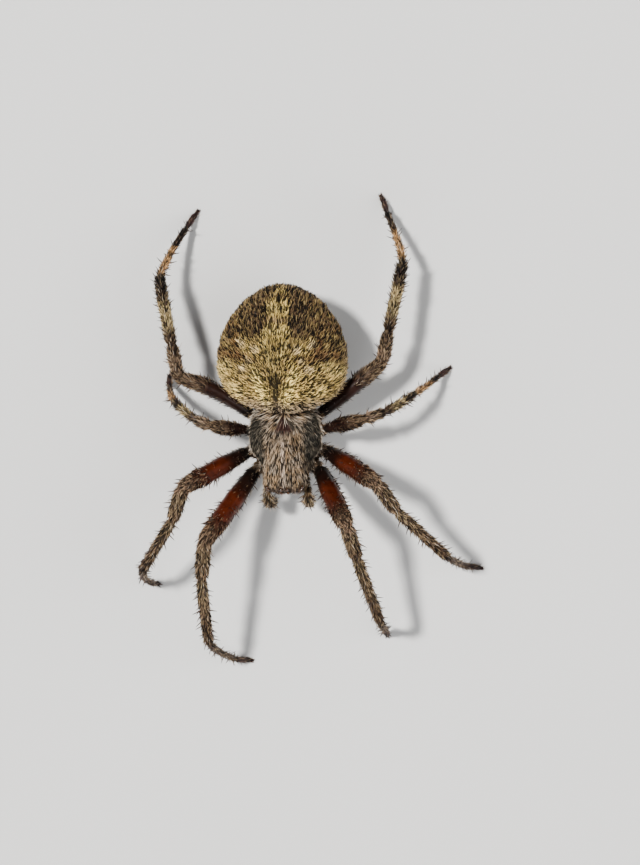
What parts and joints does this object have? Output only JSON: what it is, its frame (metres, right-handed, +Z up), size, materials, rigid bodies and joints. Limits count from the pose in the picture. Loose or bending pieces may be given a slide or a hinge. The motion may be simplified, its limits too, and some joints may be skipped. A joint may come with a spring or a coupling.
{
  "type": "orb weaver spider",
  "caption": "Life-size still model of a large brown and gold hairy spider standing on its leg tips, legs spread, with a round abdomen",
  "frame": {"origin": "middle of the whole spider's box, on the floor under its feet", "axes": "+Y from the head to the tip of the abdomen, +X to the spider's left side, +Z up"},
  "size_m": [0.026, 0.0358, 0.0105],
  "materials": {
    "cephalothorax": "grey-tan hairs over dark greenish-black shell",
    "abdomen": "short golden and straw hairs over dark brown skin",
    "coxa": "dark brown shell with pale hairs",
    "femur": "glossy mahogany shell, hairy below and at the far end",
    "patella": "grey-tan lengthwise hairs",
    "tibia": "grey-brown lengthwise hairs with a dark far band",
    "metatarsus": "purple-brown, thinly haired",
    "tarsus": "blackish brown, thinly haired",
    "chelicera": "dark glossy brown shell with fine hairs",
    "palp": "tan, bristly",
    "eye": "black, polished"
  },
  "bodies": {
    "root": {"abdomen": "abdomen", "cephalothorax": "cephalothorax", "chelicera_left": "chelicera", "chelicera_right": "chelicera", "eye_median_front_left": "eye", "eye_median_front_right": "eye", "eye_median_rear_left": "eye", "eye_median_rear_right": "eye", "eyes_lateral_left": "eye", "eyes_lateral_right": "eye", "leg_1_left_coxa": "coxa", "leg_1_left_femur": "femur", "leg_1_left_metatarsus": "metatarsus", "leg_1_left_patella": "patella", "leg_1_left_tarsus": "tarsus", "leg_1_left_tibia": "tibia", "leg_1_right_coxa": "coxa", "leg_1_right_femur": "femur", "leg_1_right_metatarsus": "metatarsus", "leg_1_right_patella": "patella", "leg_1_right_tarsus": "tarsus", "leg_1_right_tibia": "tibia", "leg_2_left_coxa": "coxa", "leg_2_left_femur": "femur", "leg_2_left_metatarsus": "metatarsus", "leg_2_left_patella": "patella", "leg_2_left_tarsus": "tarsus", "leg_2_left_tibia": "tibia", "leg_2_right_coxa": "coxa", "leg_2_right_femur": "femur", "leg_2_right_metatarsus": "metatarsus", "leg_2_right_patella": "patella", "leg_2_right_tarsus": "tarsus", "leg_2_right_tibia": "tibia", "leg_3_left_coxa": "coxa", "leg_3_left_femur": "femur", "leg_3_left_metatarsus": "metatarsus", "leg_3_left_patella": "patella", "leg_3_left_tarsus": "tarsus", "leg_3_left_tibia": "tibia", "leg_3_right_coxa": "coxa", "leg_3_right_femur": "femur", "leg_3_right_metatarsus": "metatarsus", "leg_3_right_patella": "patella", "leg_3_right_tarsus": "tarsus", "leg_3_right_tibia": "tibia", "leg_4_left_coxa": "coxa", "leg_4_left_femur": "femur", "leg_4_left_metatarsus": "metatarsus", "leg_4_left_patella": "patella", "leg_4_left_tarsus": "tarsus", "leg_4_left_tibia": "tibia", "leg_4_right_coxa": "coxa", "leg_4_right_femur": "femur", "leg_4_right_metatarsus": "metatarsus", "leg_4_right_patella": "patella", "leg_4_right_tarsus": "tarsus", "leg_4_right_tibia": "tibia", "palp_left": "palp", "palp_right": "palp"}
  },
  "joints": []
}
